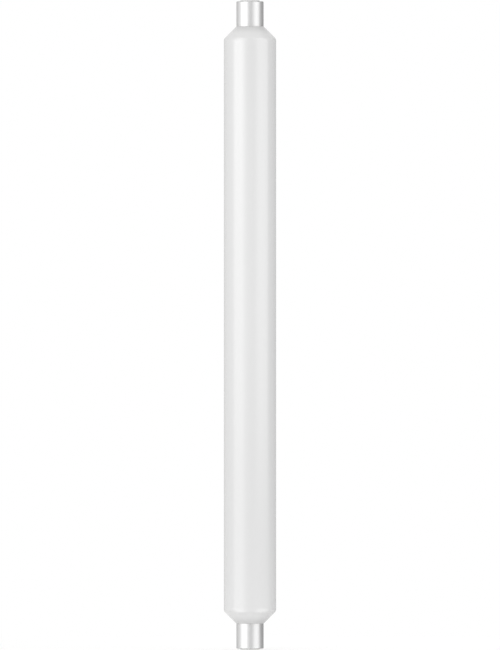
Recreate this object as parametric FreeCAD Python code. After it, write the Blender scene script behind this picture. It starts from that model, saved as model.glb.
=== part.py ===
import FreeCAD, Part
import math
import os

# Double-ended tubular lamp with opal glass and a smooth contact cap on each end. Millimetres.
# The lamp is upright. +Z runs up its axis, and the origin is the centre of the lower end face.
# Radii are measured from the axis. Heights at an end are measured inwards from that end face.

# Envelope
overall_length = 310.0
tube_diameter = 25.0
shoulder_angle = 45.0  # degrees between the cone of the shoulder and the axis
shoulder_edge_round = 2.0  # where the cone meets the tube
shoulder_reveal = 0.1  # how far the root of the cone stands out past the cap
shoulder_root_round = 0.3

# Neck of the glass, hidden in the cap
neck_tip_taper = 1.0  # across and along
neck_tip_gap = 1.2  # from the flared eyelet to the tip of the neck
seal_depth = 3.0  # length of lead wire melted into the glass
seal_dish_diameter = 4.4
seal_dish_depth = 0.6

# Drawn shell of the cap
cap_diameter = 13.0
cap_length = 12.0  # from the flat rim to the mouth
shell_wall = 0.35
shell_rim_round = 0.5
shell_rim_flats = 3  # the round is turned as this many narrow cones
lip_clearance = 0.05  # from the lip to the boss that stands in it

# Moulded insulator, a flange inside the shell with a boss through its lip
boss_diameter = 9.2
boss_proud = 0.5
boss_chamfer = 0.2
flange_thickness = 1.6
flange_corner_clearance = 0.05  # extra chamfer, so that the flange seats flat on the lip

# End contact, an eyelet riveted through the insulator
contact_diameter = 5.6
contact_thickness = 0.5
contact_recess_clearance = 0.05
eyelet_diameter = 3.0
eyelet_bore = 1.6
flare_diameter = 4.4
flare_thickness = 0.35
solder_dish_diameter = 3.8
solder_dish_depth = 0.35

# Solder and lead wire
wire_diameter = 0.6
wire_cover = 0.3  # solder over the trimmed end of the wire
solder_crown_depth = 0.05  # the crown stays this far inside the end face
solder_edge_depth = 0.12
solder_plug_length = 1.3  # past the dish, down the bore of the eyelet

# Capping cement, between the neck and the shell
cement_gap = 0.6
cement_setback = 1.8  # from the tip of the neck to the cement
cement_climb = 0.5  # the cement stands this much higher on the glass than on the shell

axis = FreeCAD.Vector(0, 0, 1)
origin = FreeCAD.Vector(0, 0, 0)

tube_radius = tube_diameter / 2
cap_radius = cap_diameter / 2
shell_inner_taper = shell_rim_round - shell_wall
shell_inner_radius = cap_radius - shell_wall
neck_radius = shell_inner_radius - cement_gap
boss_radius = boss_diameter / 2
contact_radius = contact_diameter / 2
eyelet_radius = eyelet_diameter / 2
bore_radius = eyelet_bore / 2
flare_radius = flare_diameter / 2
solder_dish_radius = solder_dish_diameter / 2
wire_radius = wire_diameter / 2

# Heights inwards from the end face, in the order in which they are met.
wire_end_height = solder_crown_depth + wire_cover
rim_height = boss_proud
lip_height = rim_height + shell_wall
flange_height = lip_height + flange_thickness
flare_height = flange_height + flare_thickness
neck_tip_height = flare_height + neck_tip_gap
mouth_height = rim_height + cap_length
root_radius = cap_radius + shoulder_reveal
shoulder_height = mouth_height + (tube_radius - root_radius) / math.tan(math.radians(shoulder_angle))


# A corner is (radius, height, round). Two edges meet there, and a round above zero blends them by an arc.
# Gives the point of a sharp corner, or the start, middle and end of the arc of a blended one.
def corner_points(before, corner, after):
    point = FreeCAD.Vector(corner[0], 0, corner[1])
    blend = corner[2]
    if blend == 0:
        return [point]
    to_before = (FreeCAD.Vector(before[0], 0, before[1]) - point).normalize()
    to_after = (FreeCAD.Vector(after[0], 0, after[1]) - point).normalize()
    half_angle = to_before.getAngle(to_after) / 2
    reach = blend / math.tan(half_angle)
    inwards = (to_before + to_after).normalize()
    middle = point + inwards * (blend / math.sin(half_angle) - blend)
    return [point + to_before * reach, middle, point + to_after * reach]


# Turns the closed outline through the corners about the axis.
def turned(corners):
    stretches = []
    for index, corner in enumerate(corners):
        after = corners[(index + 1) % len(corners)]
        stretches.append(corner_points(corners[index - 1], corner, after))
    edges = []
    last_end = stretches[-1][-1]
    for stretch in stretches:
        if not last_end.isEqual(stretch[0], 1e-6):
            edges.append(Part.makeLine(last_end, stretch[0]))
        if len(stretch) > 1:
            edges.append(Part.Arc(*stretch).toShape())
        last_end = stretch[-1]
    return Part.Face(Part.Wire(edges)).revolve(origin, axis, 360)


# One blown solid: the tube, the cone of a shoulder at each end, and the necks that the caps are cemented to.
# It is opal and sealed, so it is solid. Each cap's mouth seats on the flat at the root of the cone.
def opal_tube():
    lower_end = [
        (0, neck_tip_height + seal_depth, 0),
        (wire_radius, neck_tip_height + seal_depth, 0),
        (wire_radius, neck_tip_height + seal_dish_depth, 0),
        (seal_dish_diameter / 2, neck_tip_height, 0),
        (neck_radius - neck_tip_taper, neck_tip_height, 0),
        (neck_radius, neck_tip_height + neck_tip_taper, 0),
        (neck_radius, mouth_height, 0),
        (root_radius, mouth_height, shoulder_root_round),
        (tube_radius, shoulder_height, shoulder_edge_round),
    ]
    upper_end = [(radius, overall_length - height, blend) for radius, height, blend in reversed(lower_end)]
    return turned(lower_end + upper_end)


# A cup drawn from thin sheet, with a rounded rim and an inward lip around the insulator's boss.
# Inside, the corner between the lip and the wall is filled by a narrow cone.
def cap_shell():
    lip_radius = boss_radius + lip_clearance
    rim = []
    for step in range(shell_rim_flats + 1):
        angle = math.radians(90 * (1 - step / shell_rim_flats))
        across = cap_radius - shell_rim_round * (1 - math.cos(angle))
        along = rim_height + shell_rim_round * (1 - math.sin(angle))
        rim.append((across, along, 0))
    return turned([
        (lip_radius, rim_height, 0),
        *rim,
        (cap_radius, mouth_height, 0),
        (shell_inner_radius, mouth_height, 0),
        (shell_inner_radius, lip_height + shell_inner_taper, 0),
        (shell_inner_radius - shell_inner_taper, lip_height, 0),
        (lip_radius, lip_height, 0),
    ])


# The flange is pressed into the shell and seats on the lip. The boss has a recess for the contact's disc.
def cap_insulator():
    recess_radius = contact_radius + contact_recess_clearance
    corner_chamfer = shell_inner_taper + flange_corner_clearance
    return turned([
        (eyelet_radius, flange_height, 0),
        (eyelet_radius, contact_thickness, 0),
        (recess_radius, contact_thickness, 0),
        (recess_radius, 0, 0),
        (boss_radius - boss_chamfer, 0, 0),
        (boss_radius, boss_chamfer, 0),
        (boss_radius, lip_height, 0),
        (shell_inner_radius - corner_chamfer, lip_height, 0),
        (shell_inner_radius, lip_height + corner_chamfer, 0),
        (shell_inner_radius, flange_height, 0),
    ])


# A disc flush with the boss, with a dish for the solder and a hollow shank flared over the flange.
def end_contact():
    return turned([
        (bore_radius, flare_height, 0),
        (bore_radius, solder_dish_depth, 0),
        (solder_dish_radius, 0, 0),
        (contact_radius, 0, 0),
        (contact_radius, contact_thickness, 0),
        (eyelet_radius, contact_thickness, 0),
        (eyelet_radius, flange_height, 0),
        (flare_radius, flange_height, 0),
        (flare_radius, flare_height, 0),
    ])


# Fills the dish and part of the eyelet's bore, around the end of the wire. Its crown is a low cone.
def solder_bead():
    dish_slope = (solder_dish_radius - bore_radius) / solder_dish_depth
    plug_end = solder_dish_depth + solder_plug_length
    return turned([
        (0, wire_end_height, 0),
        (0, solder_crown_depth, 0),
        (solder_dish_radius - dish_slope * solder_edge_depth, solder_edge_depth, 0),
        (bore_radius, solder_dish_depth, 0),
        (bore_radius, plug_end, 0),
        (wire_radius, plug_end, 0),
        (wire_radius, wire_end_height, 0),
    ])


# Straight from the solder to the bottom of the seal in the glass.
def lead_wire():
    length = neck_tip_height + seal_depth - wire_end_height
    return Part.makeCylinder(wire_radius, length, FreeCAD.Vector(0, 0, wire_end_height), axis)


# The cement fills the gap between the neck and the shell, from near the tip of the neck to the mouth.
def cement_ring():
    inner_end = neck_tip_height + cement_setback
    return turned([
        (neck_radius, inner_end, 0),
        (shell_inner_radius, inner_end + cement_climb, 0),
        (shell_inner_radius, mouth_height, 0),
        (neck_radius, mouth_height, 0),
    ])


# The same piece on the other end: turned over about the middle of the lamp.
def turned_over(lower_piece):
    upper_piece = lower_piece.copy()
    middle = FreeCAD.Vector(0, 0, overall_length / 2)
    upper_piece.rotate(middle, FreeCAD.Vector(1, 0, 0), 180)
    return upper_piece


pieces = {"opal_tube": opal_tube()}
cap_pieces = {
    "cap_shell": cap_shell(),
    "cap_insulator": cap_insulator(),
    "end_contact": end_contact(),
    "solder_bead": solder_bead(),
    "lead_wire": lead_wire(),
    "cement_ring": cement_ring(),
}
for name, lower_piece in cap_pieces.items():
    pieces[name + "_bottom"] = lower_piece
    pieces[name + "_top"] = turned_over(lower_piece)

os.makedirs("parts", exist_ok=True)
for name, solid in pieces.items():
    solid.exportStep("parts/" + name + ".step")
    box = solid.BoundBox
    print(name, "solids", len(solid.Solids), "valid", solid.isValid(), "volume", round(solid.Volume, 3),
          "z", round(box.ZMin, 3), round(box.ZMax, 3))
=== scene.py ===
# A straight opal glass tube lamp with a smooth metal cap on each end, on white. Metres, +Z up.
import math
import bpy
import bmesh
from mathutils import Matrix, Vector, noise


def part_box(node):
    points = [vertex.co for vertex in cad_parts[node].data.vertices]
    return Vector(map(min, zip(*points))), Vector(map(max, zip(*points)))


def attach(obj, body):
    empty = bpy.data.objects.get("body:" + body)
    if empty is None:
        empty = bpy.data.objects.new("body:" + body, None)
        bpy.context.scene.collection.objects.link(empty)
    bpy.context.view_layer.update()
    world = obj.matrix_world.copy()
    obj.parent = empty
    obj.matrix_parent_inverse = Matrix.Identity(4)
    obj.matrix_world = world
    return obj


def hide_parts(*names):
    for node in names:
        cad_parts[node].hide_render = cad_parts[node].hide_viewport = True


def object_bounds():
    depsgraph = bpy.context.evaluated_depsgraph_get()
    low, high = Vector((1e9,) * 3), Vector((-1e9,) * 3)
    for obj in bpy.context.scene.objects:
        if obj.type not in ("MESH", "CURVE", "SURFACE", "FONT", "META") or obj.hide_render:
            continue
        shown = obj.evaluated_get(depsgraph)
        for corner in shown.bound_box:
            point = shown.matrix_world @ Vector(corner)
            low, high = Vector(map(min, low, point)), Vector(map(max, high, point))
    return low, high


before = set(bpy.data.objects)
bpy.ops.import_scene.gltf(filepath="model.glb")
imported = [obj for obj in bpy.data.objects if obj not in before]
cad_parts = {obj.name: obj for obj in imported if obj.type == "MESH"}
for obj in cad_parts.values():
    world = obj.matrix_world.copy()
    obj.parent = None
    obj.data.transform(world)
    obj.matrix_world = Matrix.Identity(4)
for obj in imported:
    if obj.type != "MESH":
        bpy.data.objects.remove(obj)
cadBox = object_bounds()
scene = bpy.context.scene
scene.view_settings.view_transform = "Standard"
mm = 0.001
lampLow, lampHigh = cadBox
lampMiddle = (lampLow + lampHigh) / 2
print("frame loaded, nodes:", len(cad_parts))


# Camera
cameraSet = {
    "distance": 7.0,  # far away, so that both ends are seen square on
    "frameHeight": 310.33 * mm,  # the lamp nearly fills the height of the picture
    "sensor": 36.0,
    "clip": (0.1, 60.0),
}


def placeCamera():
    camera = bpy.data.objects.new("camera", bpy.data.cameras.new("camera"))
    scene.collection.objects.link(camera)
    scene.camera = camera
    camera.location = (lampMiddle.x, -cameraSet["distance"], lampMiddle.z)
    camera.rotation_euler = (math.radians(90), 0, 0)
    camera.data.sensor_width = cameraSet["sensor"]
    camera.data.lens = cameraSet["sensor"] * cameraSet["distance"] / cameraSet["frameHeight"]
    camera.data.clip_start, camera.data.clip_end = cameraSet["clip"]
    print("camera placed, lens", round(camera.data.lens, 1))


placeCamera()


# Shader maths. A Flow is one socket of a node tree, and sums written with it add their own Math nodes.
class Flow:
    def __init__(self, board, socket):
        self.board = board
        self.socket = socket

    def maths(self, operation, *others):
        return self.board.maths(operation, self, *others)

    def __add__(self, other):
        return self.maths("ADD", other)

    def __mul__(self, other):
        return self.maths("MULTIPLY", other)

    def __sub__(self, other):
        return self.maths("SUBTRACT", other)

    def __rsub__(self, other):
        return self.board.maths("SUBTRACT", other, self)

    def __truediv__(self, other):
        return self.maths("DIVIDE", other)

    def __rtruediv__(self, other):
        return self.board.maths("DIVIDE", other, self)

    def __pow__(self, other):
        return self.maths("POWER", other)

    def __rpow__(self, other):
        return self.board.maths("POWER", other, self)

    def __neg__(self):
        return self.maths("MULTIPLY", -1.0)

    __radd__ = __add__
    __rmul__ = __mul__


def setStops(elements, stops):
    while len(elements) < len(stops):
        elements.new(1.0)
    for element, (position, colour) in zip(elements, stops):
        element.position = position
        element.color = colour


# A node tree. Every node comes from one method, which sets its settings first and then its sockets.
class Board:
    def __init__(self, tree):
        self.tree = tree
        tree.nodes.clear()

    def add(self, kind, settings, inputs, output=0):
        node = self.tree.nodes.new(kind)
        for name, value in settings.items():
            if name == "stops":
                setStops(node.color_ramp.elements, value)
            else:
                setattr(node, name, value)
        for name, value in inputs.items():
            if isinstance(value, Flow):
                self.tree.links.new(value.socket, node.inputs[name])
            else:
                node.inputs[name].default_value = value
        return Flow(self, node.outputs[output]) if node.outputs else None

    def maths(self, operation, *terms):
        return self.add("ShaderNodeMath", {"operation": operation}, dict(enumerate(terms)))

    def place(self, kind="Object"):
        return self.add("ShaderNodeTexCoord", {}, {}, kind)

    def ray(self, kind):
        return self.add("ShaderNodeLightPath", {}, {}, kind)

    def parts(self, vector):
        node = self.add("ShaderNodeSeparateXYZ", {}, {0: vector}).socket.node
        return [Flow(self, socket) for socket in node.outputs]

    def offAxis(self, place):  # distance from the lamp's axis
        x, y = self.parts(place)[:2]
        return (x * x + y * y) ** 0.5

    # Noise. Its scale is one number, or three where the pattern is stretched.
    def grain(self, place, scale, detail, roughness=0.5):
        if isinstance(scale, tuple):
            place = self.add("ShaderNodeMapping", {}, {"Vector": place, "Scale": scale})
            scale = 1.0
        inputs = {"Vector": place, "Scale": scale, "Detail": detail, "Roughness": roughness}
        return self.add("ShaderNodeTexNoise", {}, inputs)

    def ease(self, value, low, high, start=0.0, end=1.0):
        inputs = {"Value": value, "From Min": low, "From Max": high, "To Min": start, "To Max": end}
        return self.add("ShaderNodeMapRange", {"interpolation_type": "SMOOTHSTEP"}, inputs)

    def blend(self, factor, first, second):  # of two colours
        return self.add("ShaderNodeMix", {"data_type": "RGBA"}, {0: factor, 6: first, 7: second}, 2)

    # A grey that a noise makes darker in some places and paler in others.
    def clouded(self, grain, base, darker, paler, warmth=0.0):
        return self.blend(grain, grey(base - darker, warmth), grey(base + paler, warmth))

    # A colour with some of a darker grey over part of it. That grey is a share of the base.
    def shaded(self, colour, mask, base, amount, share, warmth=0.0):
        return self.blend(mask * amount, colour, grey(base * share, warmth))

    def bump(self, height, distance):
        return self.add("ShaderNodeBump", {}, {"Height": height, "Distance": distance})


evenGrain = 0.5  # the level that a noise varies around


def grey(value, warmth=0.0):
    return (value * (1 + warmth), value, value * (1 - warmth), 1.0)


def between(first, second, share):  # of two levels
    return first + share * (second - first)


def total(weights, **layers):  # the layers added up, each times the weight of its name
    return sum(layer * weights[name] for name, layer in layers.items())


def blankMaterial(name):
    material = bpy.data.materials.new(name)
    material.use_nodes = True
    return material, Board(material.node_tree)


def newMaterial(name, build):
    material, board = blankMaterial(name)
    shader = board.add("ShaderNodeBsdfPrincipled", {}, build(board))
    board.add("ShaderNodeOutputMaterial", {}, {"Surface": shader})
    return material


def linkShape(name, shape, material):
    mesh = bpy.data.meshes.new(name)
    shape.to_mesh(mesh)
    shape.free()
    mesh.materials.append(material)
    thing = bpy.data.objects.new(name, mesh)
    scene.collection.objects.link(thing)
    return thing


def spinRound(shape, steps):
    bmesh.ops.spin(shape, geom=shape.verts[:] + shape.edges[:], angle=math.tau, steps=steps,
                   cent=(0, 0, 0), axis=(0, 0, 1), dvec=(0, 0, 0),
                   use_merge=True, use_normal_flip=False, use_duplicate=False)


# World and lamps
lightSet = {
    "around": 0.682,  # plain light from all sides
    "poles": 0.55,  # more of it from straight above and below
    "glossAround": 0.80,  # what gloss sees past the tent's open ends
    "lamps": {  # place, width and power
        "key": ((-0.10, -0.33, 0.17), 0.3, 0.265),
        "backKey": ((0.10, 0.33, 0.185), 0.3, 0.24),
        "fill": ((0.14, -0.12, 0.19), 0.12, 0.014),
    },
}


def lightWorld():
    world = bpy.data.worlds.new("studio")
    scene.world = world
    world.use_nodes = True
    world.cycles.sampling_method = "NONE"
    board = Board(world.node_tree)
    rise = board.parts(board.place("Generated"))[2]
    plain = lightSet["around"] + rise * rise * lightSet["poles"]
    level = plain + board.ray("Is Camera Ray") * (1.0 - plain)
    level = level + board.ray("Is Glossy Ray") * (lightSet["glossAround"] - plain)
    studio = board.add("ShaderNodeBackground", {}, {"Color": grey(1.0), "Strength": level})
    board.add("ShaderNodeOutputWorld", {}, {"Surface": studio})


def hangLamps():
    for name, (place, width, power) in lightSet["lamps"].items():
        lamp = bpy.data.lights.new(name, "AREA")
        lamp.size = width
        lamp.energy = power
        light = bpy.data.objects.new(name, lamp)
        scene.collection.objects.link(light)
        light.location = place
        light.rotation_euler = (lampMiddle - light.location).to_track_quat("-Z", "Y").to_euler()
        light.visible_camera = False
        light.visible_glossy = False


# A round light tent that only gloss sees: two tall bright boxes, a greyer gap in front, a dark back right.
# Directions are in degrees, 0 towards the camera and 90 to its right. A point is a place and a level.
tentSet = {
    "radius": 1.2,
    "steps": 72,
    "ends": (-2.7, 3.0),
    "whole": (-1.5, 1.8),  # outside these heights it fades away
    "middle": 0.90,  # contrast strengthens only what is brighter than this
    "rampTop": 3.0,  # the highest level that a ramp can give
    "turn": (-180, 180),
    "level": [  # level with the lamp
        (-180, 0.86), (-168, 0.74), (-158, 0.68), (-145, 0.74), (-120, 0.94), (-100, 1.08), (-86, 1.12),
        (-79, 1.37), (-73, 1.85), (-66, 2.16), (-42, 2.16), (-34, 2.00), (-27, 1.62), (-19, 1.20),
        (-11, 0.94), (-4, 0.83), (13, 0.80), (20, 0.90), (27, 1.18), (34, 1.52), (43, 1.80), (56, 1.86),
        (72, 1.82), (81, 1.60), (86, 1.02), (91, 0.66), (100, 0.56), (115, 0.50), (140, 0.46), (160, 0.50),
        (171, 0.76), (180, 0.86),
    ],
    "raised": [  # well above and below it
        (-180, 1.10), (-150, 0.80), (-115, 0.84), (-86, 1.05), (-73, 1.70), (-60, 2.10), (-42, 2.16),
        (-27, 1.62), (-11, 0.94), (4, 0.80), (13, 0.80), (27, 1.18), (43, 1.78), (72, 1.78), (86, 1.07),
        (100, 0.64), (140, 0.50), (160, 0.66), (180, 1.10),
    ],
    "raisedReach": (0.25, 0.6),  # how far from the lamp's middle one turns into the other
    "heights": (-0.5, 1.1),  # that both contrasts run over
    "leftContrast": [
        (-0.5, 1.00), (-0.035, 1.00), (-0.015, 0.72), (0.060, 0.72), (0.108, 0.86), (0.208, 1.08),
        (0.293, 1.50), (0.312, 1.52), (0.50, 1.38), (0.75, 1.00), (1.1, 1.00),
    ],
    "rightContrast": [
        (-0.5, 1.00), (-0.035, 1.00), (-0.015, 0.00), (0.020, 0.08), (0.060, 0.36), (0.108, 0.76),
        (0.208, 0.90), (0.293, 1.00), (0.299, 1.00), (1.1, 1.00),
    ],
    "rightSide": (-8, 16),  # directions between which left turns into right
}


def curve(board, value, span, points):  # levels read from a ramp
    low, high = span
    top = tentSet["rampTop"]
    stops = [((place - low) / (high - low), grey(level / top)) for place, level in points]
    factor = board.add("ShaderNodeMapRange", {}, {"Value": value, "From Min": low, "From Max": high})
    return board.add("ShaderNodeValToRGB", {"stops": stops}, {0: factor}) * top


def tentCloth():
    material, board = blankMaterial("tentCloth")
    x, y, z = board.parts(board.place())
    side = x.maths("ARCTAN2", -y) * math.degrees(1)
    level = curve(board, side, tentSet["turn"], tentSet["level"])
    raised = curve(board, side, tentSet["turn"], tentSet["raised"])
    offMiddle = (z - lampMiddle.z).maths("ABSOLUTE")
    level = between(level, raised, board.ease(offMiddle, *tentSet["raisedReach"]))
    onLeft = curve(board, z, tentSet["heights"], tentSet["leftContrast"])
    onRight = curve(board, z, tentSet["heights"], tentSet["rightContrast"])
    contrast = between(onLeft, onRight, board.ease(side, *tentSet["rightSide"]))
    stripe = level - tentSet["middle"]
    level = tentSet["middle"] + stripe.maths("MAXIMUM", 0.0) * contrast + stripe.maths("MINIMUM", 0.0)
    glow = board.add("ShaderNodeEmission", {}, {"Color": grey(1.0), "Strength": level})
    openAir = board.add("ShaderNodeBsdfTransparent", {}, {})
    lowEnd, highEnd = tentSet["ends"]
    wholeFrom, wholeTo = tentSet["whole"]
    gone = board.ease(z, wholeTo, highEnd).maths("MAXIMUM", board.ease(z, wholeFrom, lowEnd))
    cloth = board.add("ShaderNodeMixShader", {}, {0: gone, 1: glow, 2: openAir})
    board.add("ShaderNodeOutputMaterial", {}, {"Surface": cloth})
    material.cycles.emission_sampling = "NONE"
    return material


def pitchTent():
    shape = bmesh.new()
    pole = [shape.verts.new((0, tentSet["radius"], height)) for height in tentSet["ends"]]
    shape.edges.new(pole)
    spinRound(shape, tentSet["steps"])
    tent = linkShape("lightTent", shape, tentCloth())
    tent.visible_camera = False
    tent.visible_diffuse = False
    tent.visible_shadow = False
    tent.visible_transmission = False


lightWorld()
hangLamps()
pitchTent()
print("studio lit")


# Floor. The lamp stands on it, and it is open under the foot so that light reaches the end contact.
floorSet = {
    "drop": 0.1 * mm,  # below the lamp's foot
    "radius": 0.32,
    "segments": 96,
    "fade": (0.14, 0.3),  # distances between which it fades out
    "foot": 5.5 * mm,  # radius of the opening
    "fibre": (260.0, 4.0),  # scale and detail
    "paper": (0.93, 0.96),
    "white": 0.6,  # share of plain white that the camera sees in it
    "bounce": (0.93, 0.77),  # how pale all other rays find it, near the foot and far off; paler near the foot, a painted pool of light that bounces onto the lamp
    "near": (0.02, 0.09),  # distances between which near turns into far
}


def floorPaper():
    material, board = blankMaterial("floorPaper")
    place = board.place()
    away = board.offAxis(place)
    cameraRay = board.ray("Is Camera Ray")
    darker, paler = floorSet["paper"]
    fibre = board.blend(board.grain(place, *floorSet["fibre"]), grey(darker), grey(paler))
    # painted light: the floor is paler round the foot for all but camera rays
    nearFoot, farOff = floorSet["bounce"]
    paintedPoolBounce = board.blend(board.ease(away, *floorSet["near"]), grey(nearFoot), grey(farOff))
    paper = board.add("ShaderNodeBsdfDiffuse", {}, {"Color": board.blend(cameraRay, paintedPoolBounce, fibre)})
    glow = board.add("ShaderNodeEmission", {}, {"Color": grey(1.0), "Strength": 1.0})
    sheet = board.add("ShaderNodeMixShader", {}, {0: cameraRay * floorSet["white"], 1: paper, 2: glow})
    openAir = board.add("ShaderNodeBsdfTransparent", {}, {})
    under = board.add("ShaderNodeNewGeometry", {}, {}, "Backfacing")
    foot = away.maths("LESS_THAN", floorSet["foot"])
    gone = board.ease(away, *floorSet["fade"]).maths("MAXIMUM", under).maths("MAXIMUM", foot)
    both = board.add("ShaderNodeMixShader", {}, {0: gone, 1: sheet, 2: openAir})
    board.add("ShaderNodeOutputMaterial", {}, {"Surface": both})
    return material


def makeFloor():
    shape = bmesh.new()
    bmesh.ops.create_circle(shape, cap_ends=True, segments=floorSet["segments"], radius=floorSet["radius"])
    bmesh.ops.translate(shape, verts=shape.verts[:], vec=(0, 0, lampLow.z - floorSet["drop"]))
    floor = linkShape("floor", shape, floorPaper())
    floor.visible_glossy = False


makeFloor()
print("floor laid")


# Turned pieces. Radii, heights, walls and rounds are in millimetres, heights inwards from the lamp's end.
turnSet = {
    "bendStep": 9,  # degrees of a round to one segment
    "fewest": 3,  # segments of a round
    "longWall": 3 * mm,  # a longer wall gets a guard ring near each end
    "guard": 0.8 * mm,
    "merge": 0.0005 * mm,
    "sharp": 32,  # degrees from which an edge is shaded sharp
}


def roundCorners(shape, line, rounds):
    reaches = []
    for index, (point, blend) in enumerate(zip(line, rounds)):
        before = (line[index - 1].co - point.co).normalized()
        after = (line[(index + 1) % len(line)].co - point.co).normalized()
        half = before.angle(after, 0) / 2
        reaches.append((blend / math.tan(half) if blend else 0, math.degrees(math.pi - 2 * half)))
    for point, (reach, bend) in zip(line, reaches):
        if reach:
            segments = max(turnSet["fewest"], round(bend / turnSet["bendStep"]))
            bmesh.ops.bevel(shape, geom=[point], offset=reach, offset_type="OFFSET", profile=0.5,
                            segments=segments, affect="VERTICES", material=-1)


# Guard rings keep the long walls straight in their shading.
def guardWalls(shape):
    for edge in shape.edges[:]:
        length = edge.calc_length()
        if length > turnSet["longWall"]:
            last = edge.verts[1]
            ring = bmesh.utils.edge_split(edge, edge.verts[0], turnSet["guard"] / length)[1]
            rest = next(nearby for nearby in last.link_edges if ring in nearby.verts)
            bmesh.utils.edge_split(rest, last, turnSet["guard"] / rest.calc_length())


# A corner is (radius, height, round). Straight lines join the corners, the rounds are bevelled in,
# and the line is spun about the axis.
def turn(corners, steps, closed=True):
    shape = bmesh.new()
    line = []
    rounds = []
    for radius, height, blend in corners:
        line.append(shape.verts.new((radius * mm, 0, height * mm)))
        rounds.append(blend * mm)
    for index in range(0 if closed else 1, len(line)):
        shape.edges.new((line[index - 1], line[index]))
    roundCorners(shape, line, rounds)
    guardWalls(shape)
    spinRound(shape, steps)
    bmesh.ops.remove_doubles(shape, verts=shape.verts[:], dist=turnSet["merge"])
    bmesh.ops.dissolve_degenerate(shape, edges=shape.edges[:], dist=turnSet["merge"])
    bmesh.ops.recalc_face_normals(shape, faces=shape.faces[:])
    return shape


def finishPiece(name, shape, material, node):
    piece = linkShape(name, shape, material)
    piece.data.shade_smooth()
    piece.data.set_sharp_from_angle(angle=math.radians(turnSet["sharp"]))
    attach(piece, "root")
    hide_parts(node)


# A piece of the lower end is finished where it is, or turned over to the upper end.
def finishEnd(name, end, shape, material, node):
    if end == "top":
        over = Matrix.Rotation(math.pi, 3, "X")
        bmesh.ops.rotate(shape, verts=shape.verts[:], cent=lampMiddle, matrix=over)
    finishPiece(name + "_" + end, shape, material, node + "_" + end)


def radiusOf(node):
    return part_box(node)[1].x / mm


def startOf(node):
    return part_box(node)[0].z / mm


def endOf(node):
    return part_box(node)[1].z / mm


ends = ("bottom", "top")
lampLength = lampHigh.z / mm
capRadius = radiusOf("cap_shell_bottom")
rimHeight = startOf("cap_shell_bottom")
mouthHeight = endOf("cap_shell_bottom")
flangeHeight = endOf("cap_insulator_bottom")
discRadius = radiusOf("end_contact_bottom")
wireRadius = radiusOf("lead_wire_bottom")


def fromEnd(board, place):  # distance inwards from the nearer end
    middle = lampLength / 2
    return middle - (board.parts(place)[2] / mm - middle).maths("ABSOLUTE")


# Opal glass tube. A noise is given by its scale and detail, and its roughness where that isn't 0.5.
opalSet = {
    "white": 0.78,
    "clouds": (0.008, 0.008),  # how much darker and paler they are
    "shoulderLitWhite": (0.80, 0.002),  # and its warmth
    # a darker white painted as shade where the glass meets the cap
    "capShadeWhite": (0.66, 0.002),
    "heated": (17.0, 21.0),  # heights between which the shoulder's painted light, a paler white that lifts the cones' shade, and its own roughness and bumps run out
    "capShadeReach": 4.0,  # length past the cap over which painted shade darkens the glass towards the cap
    "roughness": 0.45,
    "rougher": {"cloud": 0.10, "heated": 0.06},
    "ior": 1.5,
    "specular": 0.1,
    "coatRoughness": 0.065,
    "coatIor": 1.8,
    "cloud": ((60, 60, 14), 3.0),
    "drawLines": ((520, 520, 3.5), 2.0),
    "swell": ((70, 70, 9), 1.0),
    "fine": (900.0, 2.0),
    "heights": {"drawn": 0.5, "swell": 3.0, "fine": 0.05, "heated": 2.0},
    "depth": 0.0012 * mm,
    "edgeRound": 2.0,
    "rootRound": 0.3,
    "reveal": 0.1,  # the root of the cone stands this far out past the cap
    "neckRound": 1.5,
    "cementGap": 0.6,
    "sealDish": (2.2, 0.6),  # radius and depth, at the tip of the neck
    "sealRound": 0.4,
    "holeRound": 0.15,
    "steps": 192,
}


def opalGlass(board):
    place = board.place()
    inwards = fromEnd(board, place)
    cloud = board.grain(place, *opalSet["cloud"])
    drawn = board.grain(place, *opalSet["drawLines"])
    swell = board.grain(place, *opalSet["swell"])
    fine = board.grain(place, *opalSet["fine"])
    heated = board.ease(inwards, *opalSet["heated"], 1.0, 0.0)
    # painted shade on the glass, darkest at the cap's mouth
    capShade = board.ease(inwards, mouthHeight, mouthHeight + opalSet["capShadeReach"], 1.0, 0.0)
    colour = board.clouded(cloud, opalSet["white"], *opalSet["clouds"])
    # painted light: the shoulders are painted paler to lift the cones' shade
    colour = board.blend(heated, colour, grey(*opalSet["shoulderLitWhite"]))
    colour = board.blend(capShade, colour, grey(*opalSet["capShadeWhite"]))
    rougher = total(opalSet["rougher"], cloud=cloud - evenGrain, heated=heated)
    height = total(opalSet["heights"], drawn=drawn, swell=swell, fine=fine, heated=heated * cloud)
    return {
        "Base Color": colour,
        "Roughness": opalSet["roughness"] + rougher,
        "IOR": opalSet["ior"],
        "Specular IOR Level": opalSet["specular"],
        "Coat Weight": 1.0,
        "Coat Roughness": opalSet["coatRoughness"],
        "Coat IOR": opalSet["coatIor"],
        "Normal": board.bump(height, opalSet["depth"]),
    }


def makeOpalTube():
    tubeRadius = radiusOf("opal_tube")
    rootRadius = capRadius + opalSet["reveal"]
    shoulderHeight = mouthHeight + tubeRadius - rootRadius  # so that the cone has 45 degrees
    neckRadius = radiusOf("cement_ring_bottom") - opalSet["cementGap"]
    neckTip = startOf("opal_tube")
    sealBottom = endOf("lead_wire_bottom")
    dishRadius, dishDepth = opalSet["sealDish"]
    lower = [
        (0, sealBottom, 0),
        (wireRadius, sealBottom, 0),
        (wireRadius, neckTip + dishDepth, opalSet["holeRound"]),
        (dishRadius, neckTip, opalSet["sealRound"]),
        (neckRadius, neckTip, opalSet["neckRound"]),
        (neckRadius, mouthHeight, opalSet["rootRound"]),
        (rootRadius, mouthHeight, opalSet["rootRound"]),
        (tubeRadius, shoulderHeight, opalSet["edgeRound"]),
    ]
    upper = [(radius, lampLength - height, blend) for radius, height, blend in reversed(lower)]
    shape = turn(lower + upper, opalSet["steps"], closed=False)
    finishPiece("opalTube", shape, newMaterial("opalGlass", opalGlass), "opal_tube")


makeOpalTube()
print("opal tube turned")


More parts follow.
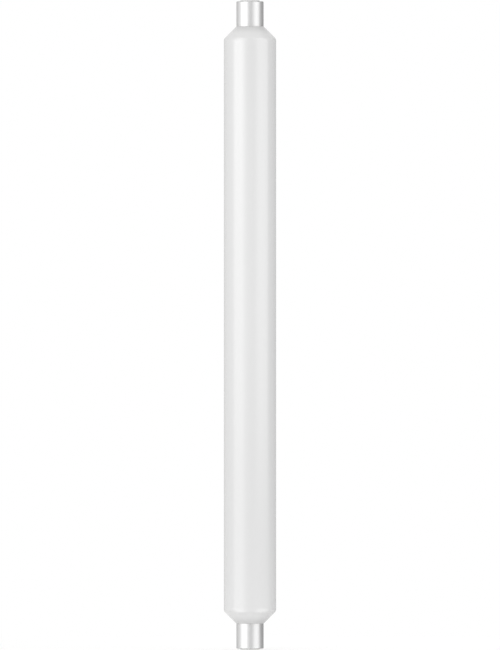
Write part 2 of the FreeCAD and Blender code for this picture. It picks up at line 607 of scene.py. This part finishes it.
# Cap shells
shellSet = {
    "metal": 0.622,
    "clouds": (0.02, 0.02),
    "hairShade": (0.12, 0.8),  # how much of it, and its share of the metal's grey
    "mouthShadeTone": (0.3, 0.9, 0.02),  # and its warmth
    "roughness": 0.385,
    "rougher": {"draw": 0.12, "hair": 0.10, "cloud": 0.06, "worn": -0.05},
    "drawLines": ((2600, 2600, 60), 2.0),  # along the drawn wall
    "hairLines": ((11000, 11000, 240), 2.0, 0.6),  # and finer ones
    "rubMarks": ((900, 900, 2400), 4.0, 0.65),  # faint ones round the wall, from a holder
    "rubbed": (0.56, 0.74),  # levels of that noise between which the metal is worn
    "satin": (5200.0, 2.0),
    "cloud": (160.0, 2.0),
    "mouthShade": 1.6,  # length from the mouth over which shade is painted on, where the shell meets the glass
    "heights": {"draw": 1.3, "hair": 0.25, "satin": 0.08, "worn": 0.1},
    "depth": 0.010 * mm,
    "wall": 0.35,
    "rimRound": 0.5,
    "lip": 4.65,  # its radius
    "edge": 0.06,  # round of the sheet's cut edges
    "steps": 160,
}
lipHeight = rimHeight + shellSet["wall"]


def drawnMetal(board):
    place = board.place()
    draw = board.grain(place, *shellSet["drawLines"])
    hair = board.grain(place, *shellSet["hairLines"])
    rub = board.grain(place, *shellSet["rubMarks"])
    satin = board.grain(place, *shellSet["satin"])
    cloud = board.grain(place, *shellSet["cloud"])
    worn = board.ease(rub, *shellSet["rubbed"])
    mouthShade = board.ease(fromEnd(board, place), mouthHeight - shellSet["mouthShade"], mouthHeight)
    metal = shellSet["metal"]
    colour = board.clouded(cloud, metal, *shellSet["clouds"])
    colour = board.shaded(colour, hair, metal, *shellSet["hairShade"])
    # painted shade, a little warm, at the mouth where the shell meets the glass
    colour = board.shaded(colour, mouthShade, metal, *shellSet["mouthShadeTone"])
    rougher = total(shellSet["rougher"], draw=draw - evenGrain, hair=hair - evenGrain,
                    cloud=cloud - evenGrain, worn=worn)
    height = total(shellSet["heights"], draw=draw, hair=hair, satin=satin, worn=worn)
    return {
        "Base Color": colour,
        "Metallic": 1.0,
        "Roughness": shellSet["roughness"] + rougher,
        "Normal": board.bump(height, shellSet["depth"]),
    }


def makeShells():
    material = newMaterial("drawnMetal", drawnMetal)
    wall = shellSet["wall"]
    edge = shellSet["edge"]
    lip = shellSet["lip"]
    for end in ends:
        shape = turn([
            (lip, rimHeight, edge),
            (capRadius, rimHeight, shellSet["rimRound"]),
            (capRadius, mouthHeight, edge),
            (capRadius - wall, mouthHeight, edge),
            (capRadius - wall, lipHeight, shellSet["rimRound"] - wall),
            (lip, lipHeight, edge),
        ], shellSet["steps"])
        finishEnd("capShell", end, shape, material, "cap_shell")


makeShells()
print("cap shells drawn")


# Insulators
insulatorSet = {
    "white": 0.74,
    "clouds": (0.02, 0.02, 0.006),  # and their warmth
    "speckShade": (0.3, 0.8, 0.01),
    "soilShade": (0.3, 0.72, 0.03),
    "roughness": 0.38,
    "rougher": 0.12,  # how much its clouds change that
    "coat": 0.25,
    "coatRoughness": 0.2,
    "cloud": (300.0, 2.0),
    "speck": (2400.0, 3.0, 0.6),
    "specked": (0.62, 0.72),  # levels of that noise between which a speck shows
    "soil": (700.0, 4.0, 0.7),
    "soiled": (0.35, 0.7),  # and between which the soil shows
    "soilReach": (0.05, 0.7),  # past the contact's disc, where flux was left
    "heights": {"speck": 1.0, "cloud": 2.0},
    "depth": 0.006 * mm,
    "bore": 1.5,  # its radius
    "boss": 4.6,  # its radius
    "bossRound": 0.18,
    "recess": 0.5,  # its depth
    "recessClearance": 0.05,
    "recessRound": 0.06,
    "flangeRound": 0.2,
    "cornerClearance": 0.05,
    "steps": 128,
}


def mouldedWhite(board):
    place = board.place()
    pastDisc = board.offAxis(place) / mm - discRadius
    cloud = board.grain(place, *insulatorSet["cloud"])
    speck = board.grain(place, *insulatorSet["speck"])
    soil = board.grain(place, *insulatorSet["soil"])
    specked = board.ease(speck, *insulatorSet["specked"])
    nearDisc = board.ease(pastDisc, *insulatorSet["soilReach"], 1.0, 0.0)
    soiled = nearDisc * board.ease(soil, *insulatorSet["soiled"])
    white = insulatorSet["white"]
    colour = board.clouded(cloud, white, *insulatorSet["clouds"])
    colour = board.shaded(colour, specked, white, *insulatorSet["speckShade"])
    colour = board.shaded(colour, soiled, white, *insulatorSet["soilShade"])
    height = total(insulatorSet["heights"], speck=speck, cloud=cloud)
    return {
        "Base Color": colour,
        "Roughness": insulatorSet["roughness"] + (cloud - evenGrain) * insulatorSet["rougher"],
        "Coat Weight": insulatorSet["coat"],
        "Coat Roughness": insulatorSet["coatRoughness"],
        "Normal": board.bump(height, insulatorSet["depth"]),
    }


def makeInsulators():
    material = newMaterial("mouldedWhite", mouldedWhite)
    flangeRadius = radiusOf("cap_insulator_bottom")
    corner = shellSet["rimRound"] - shellSet["wall"] + insulatorSet["cornerClearance"]
    bore = insulatorSet["bore"]
    boss = insulatorSet["boss"]
    recess = insulatorSet["recess"]
    recessRadius = discRadius + insulatorSet["recessClearance"]
    for end in ends:
        shape = turn([
            (bore, flangeHeight, 0),
            (bore, recess, 0),
            (recessRadius, recess, 0),
            (recessRadius, 0, insulatorSet["recessRound"]),
            (boss, 0, insulatorSet["bossRound"]),
            (boss, lipHeight, 0),
            (flangeRadius - corner, lipHeight, 0),
            (flangeRadius, lipHeight + corner, 0),
            (flangeRadius, flangeHeight, insulatorSet["flangeRound"]),
        ], insulatorSet["steps"])
        finishEnd("capInsulator", end, shape, material, "cap_insulator")


makeInsulators()
print("insulators moulded")


# End contacts. Disc and shank fit the insulator's recess and bore.
contactSet = {
    "brass": (0.72, 0.56, 0.32, 1.0),
    "dull": (0.50, 0.37, 0.20, 1.0),
    "roughness": 0.3,
    "rougher": 0.2,  # how much rougher it is where it is dull
    "rings": {"away": 55.0, "waver": 2.0},  # faint turning marks that waver a little
    "waver": (300.0, 1.0),
    "tarnish": (700.0, 4.0, 0.6),
    "tarnished": (0.45, 0.75),  # levels of that noise between which it shows
    "dullEdge": (2.1, 2.8),  # radii between which the disc grows dull
    "duller": {"tarnished": 0.5, "dullEdge": 0.35},
    "heights": {"rings": 0.3, "tarnish": 1.0},
    "depth": 0.003 * mm,
    "bore": 0.8,  # its radius
    "dish": (1.9, 0.35),  # radius and depth
    "dishRound": 0.1,
    "edge": 0.12,  # round of the dish's edge and the disc's
    "flare": 2.2,  # its radius
    "flareRound": 0.17,
    "steps": 112,
}


def stampedBrass(board):
    place = board.place()
    away = board.offAxis(place) / mm
    waver = board.grain(place, *contactSet["waver"])
    rings = total(contactSet["rings"], away=away, waver=waver).maths("SINE")
    tarnish = board.grain(place, *contactSet["tarnish"])
    tarnished = board.ease(tarnish, *contactSet["tarnished"])
    dullEdge = board.ease(away, *contactSet["dullEdge"])
    dull = total(contactSet["duller"], tarnished=tarnished, dullEdge=dullEdge)
    height = total(contactSet["heights"], rings=rings, tarnish=tarnish)
    return {
        "Base Color": board.blend(dull, contactSet["brass"], contactSet["dull"]),
        "Metallic": 1.0,
        "Roughness": contactSet["roughness"] + dull * contactSet["rougher"],
        "Normal": board.bump(height, contactSet["depth"]),
    }


def makeContacts():
    material = newMaterial("stampedBrass", stampedBrass)
    flareHeight = endOf("end_contact_bottom")
    bore = contactSet["bore"]
    flare = contactSet["flare"]
    edge = contactSet["edge"]
    shank = insulatorSet["bore"]
    thickness = insulatorSet["recess"]
    dishRadius, dishDepth = contactSet["dish"]
    for end in ends:
        shape = turn([
            (bore, flareHeight, 0),
            (bore, dishDepth, contactSet["dishRound"]),
            (dishRadius, 0, edge),
            (discRadius, 0, edge),
            (discRadius, thickness, 0),
            (shank, thickness, 0),
            (shank, flangeHeight, 0),
            (flare, flangeHeight, 0),
            (flare, flareHeight, contactSet["flareRound"]),
        ], contactSet["steps"])
        finishEnd("endContact", end, shape, material, "end_contact")


makeContacts()
print("contacts stamped")


# Solder. It fills the contact's dish and part of its bore.
solderSet = {
    "tin": 0.62,
    "frosted": (0.12, 0.08),  # how much darker and paler the frost makes it
    "seamShade": (0.12, 0.7),
    "roughness": 0.34,
    "rougher": 0.3,  # how much the frost changes that
    "frost": (1500.0, 5.0, 0.65),
    "pool": (420.0, 2.0),
    "crystals": 1500.0,
    "seam": 0.35,  # width of the darker line between two crystals
    "heights": {"frost": 0.5, "pool": 4.0, "seams": -0.12},
    "depth": 0.025 * mm,
    "edge": 0.12,  # depth of the crown's edge in the dish
    "rings": 8,  # steps of the crown's curve
    "uneven": 0.018,  # height of its unevenness
    "swell": 900,  # and the scale of that
    "crownDepth": 0.2,  # nothing deeper belongs to the crown
    "stillEdge": 0.98,  # share of its radius past which the crown stays as it is
    "seeds": {"bottom": 3.0, "top": 8.0},
    "steps": 96,
}


def dullTin(board):
    place = board.place()
    frost = board.grain(place, *solderSet["frost"])
    pool = board.grain(place, *solderSet["pool"])
    cells = {"Vector": place, "Scale": solderSet["crystals"]}
    toEdge = board.add("ShaderNodeTexVoronoi", {"feature": "DISTANCE_TO_EDGE"}, cells)
    seams = board.ease(toEdge, 0.0, solderSet["seam"], 1.0, 0.0)
    tin = solderSet["tin"]
    colour = board.clouded(frost, tin, *solderSet["frosted"])
    colour = board.shaded(colour, seams, tin, *solderSet["seamShade"])
    height = total(solderSet["heights"], frost=frost, pool=pool, seams=seams)
    return {
        "Base Color": colour,
        "Metallic": 1.0,
        "Roughness": solderSet["roughness"] + (frost - evenGrain) * solderSet["rougher"],
        "Normal": board.bump(height, solderSet["depth"]),
    }


# The crown set unevenly as it cooled.
def unevenCrown(shape, rimRadius, seed):
    for point in shape.verts:
        across = math.hypot(point.co.x, point.co.y) / (rimRadius * mm)
        if point.co.z < solderSet["crownDepth"] * mm and across < solderSet["stillEdge"]:
            spot = Vector((point.co.x, point.co.y, 0)) * solderSet["swell"]
            swell = noise.noise(spot + Vector((seed, 0, 0)))
            point.co.z += (1 - across) * solderSet["uneven"] * mm * swell


def makeSolder():
    material = newMaterial("dullTin", dullTin)
    wireEnd = startOf("lead_wire_bottom")
    crownTop = startOf("solder_bead_bottom")
    plugEnd = endOf("solder_bead_bottom")
    bore = contactSet["bore"]
    edge = solderSet["edge"]
    dishRadius, dishDepth = contactSet["dish"]
    dishSlope = (dishRadius - bore) / dishDepth
    rimRadius = dishRadius - dishSlope * edge
    crown = []
    for step in range(solderSet["rings"] + 1):
        across = step / solderSet["rings"]
        crown.append((rimRadius * across, crownTop + (edge - crownTop) * across ** 2, 0))
    for end in ends:
        shape = turn([(0, wireEnd, 0)] + crown + [
            (bore, dishDepth, 0),
            (bore, plugEnd, 0),
            (wireRadius, plugEnd, 0),
            (wireRadius, wireEnd, 0),
        ], solderSet["steps"])
        unevenCrown(shape, rimRadius, solderSet["seeds"][end])
        finishEnd("solderBead", end, shape, material, "solder_bead")


makeSolder()
print("solder set")


# Wires and cement. Nothing shows them, so they keep their shapes from the frame.
wireSet = {
    "bright": (0.60, 0.52, 0.44, 1.0),
    "dark": (0.42, 0.36, 0.30, 1.0),
    "roughness": 0.35,
    "rougher": 0.2,
    "drawLines": ((9000, 9000, 300), 2.0),
    "depth": 0.003 * mm,
}
cementSet = {
    "pale": (0.74, 0.70, 0.62, 1.0),
    "dark": (0.58, 0.54, 0.46, 1.0),
    "roughness": 0.85,
    "rougher": 0.1,
    "grit": (1800.0, 5.0, 0.65),
    "lump": (350.0, 2.0),
    "heights": {"grit": 1.0, "lump": 2.0},
    "depth": 0.05 * mm,
}


def bareWire(board):
    draw = board.grain(board.place(), *wireSet["drawLines"])
    return {
        "Base Color": board.blend(draw, wireSet["dark"], wireSet["bright"]),
        "Metallic": 1.0,
        "Roughness": wireSet["roughness"] + (draw - evenGrain) * wireSet["rougher"],
        "Normal": board.bump(draw, wireSet["depth"]),
    }


def cappingCement(board):
    place = board.place()
    grit = board.grain(place, *cementSet["grit"])
    lump = board.grain(place, *cementSet["lump"])
    return {
        "Base Color": board.blend(grit, cementSet["dark"], cementSet["pale"]),
        "Roughness": cementSet["roughness"] + (lump - evenGrain) * cementSet["rougher"],
        "Normal": board.bump(total(cementSet["heights"], grit=grit, lump=lump), cementSet["depth"]),
    }


def dressHidden(node, name, build):
    material = newMaterial(name, build)
    for end in ends:
        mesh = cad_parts[node + "_" + end].data
        mesh.materials.clear()
        mesh.materials.append(material)


dressHidden("lead_wire", "bareWire", bareWire)
dressHidden("cement_ring", "cappingCement", cappingCement)
print("hidden pieces dressed")
